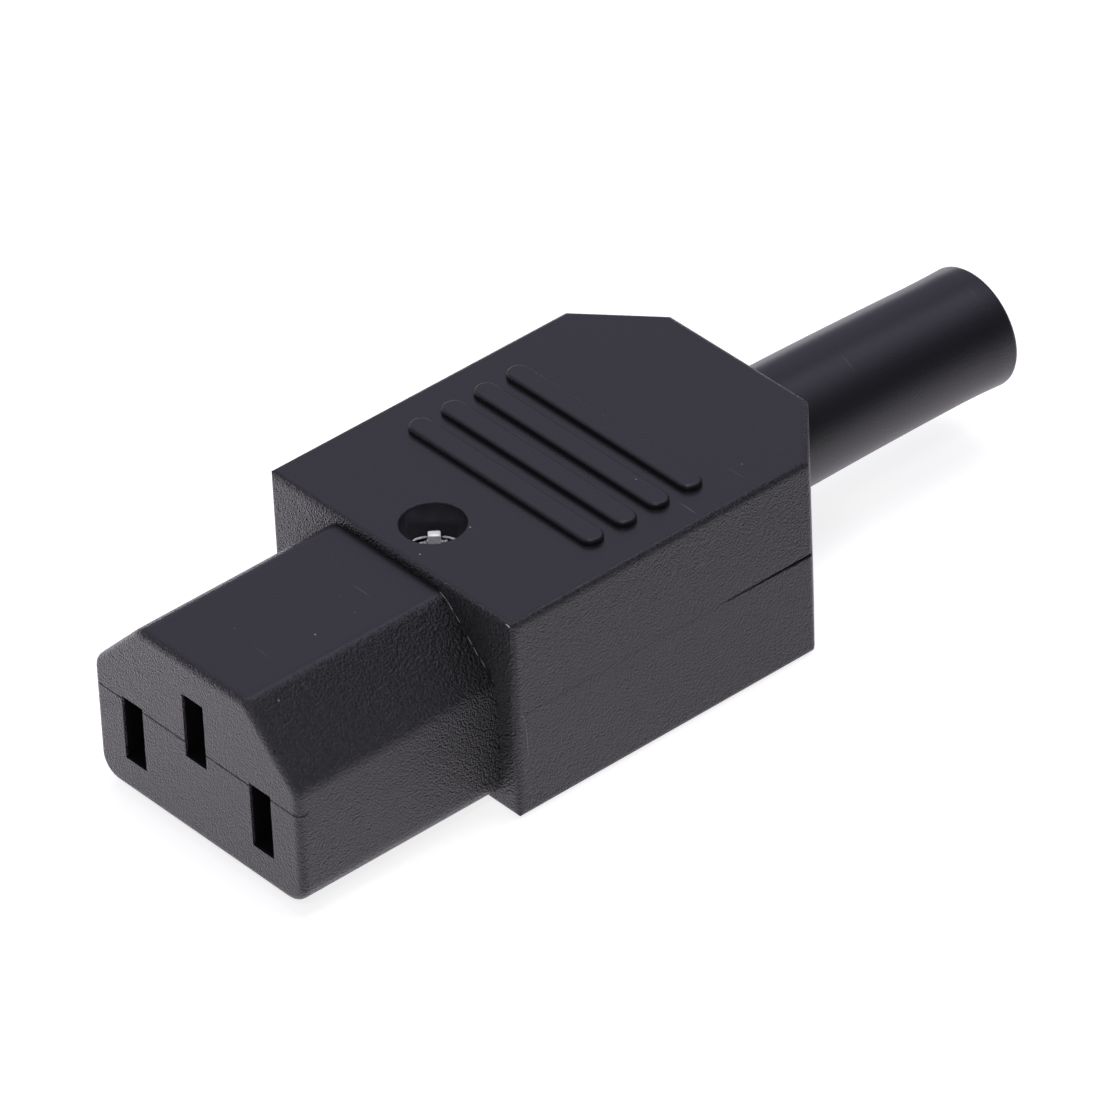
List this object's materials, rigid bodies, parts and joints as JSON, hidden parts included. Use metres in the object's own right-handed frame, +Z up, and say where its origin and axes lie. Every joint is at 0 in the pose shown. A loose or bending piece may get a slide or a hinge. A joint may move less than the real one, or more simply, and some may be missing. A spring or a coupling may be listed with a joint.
{
  "type": "c13 power connector",
  "caption": "Rewirable mains appliance connector with a chamfered slotted nose, a two-shell housing with grip ribs and one sunk screw, and a straight cable boot.",
  "frame": {"origin": "under the middle of the whole connector, on the plane of its flat underside", "axes": "+Y out of the cable boot, with the nose pointing along -Y; +Z up, out of the roof with the grip ribs; +X towards the neutral slot"},
  "size_m": [0.0264, 0.0746, 0.0175],
  "materials": {
    "shell_plastic": "satin moulded, fine spark-eroded grain on the sides",
    "boot_pvc": "smooth satin",
    "plated_steel": "bright nickel plate",
    "brass": "plain rolled and turned",
    "clamp_plastic": "matte moulded"
  },
  "bodies": {
    "root": {"upper_shell": "shell_plastic", "lower_shell": "shell_plastic", "cable_boot": "boot_pvc", "assembly_screw": "plated_steel", "assembly_insert": "brass", "line_contact": "brass", "neutral_contact": "brass", "earth_contact": "brass", "line_terminal_nut": "brass", "neutral_terminal_nut": "brass", "earth_terminal_nut": "brass", "line_wire_washer": "plated_steel", "neutral_wire_washer": "plated_steel", "earth_wire_washer": "plated_steel", "line_terminal_screw": "plated_steel", "neutral_terminal_screw": "plated_steel", "earth_terminal_screw": "plated_steel", "cord_clamp_bar": "clamp_plastic", "left_clamp_screw": "plated_steel", "right_clamp_screw": "plated_steel"}
  },
  "joints": []
}
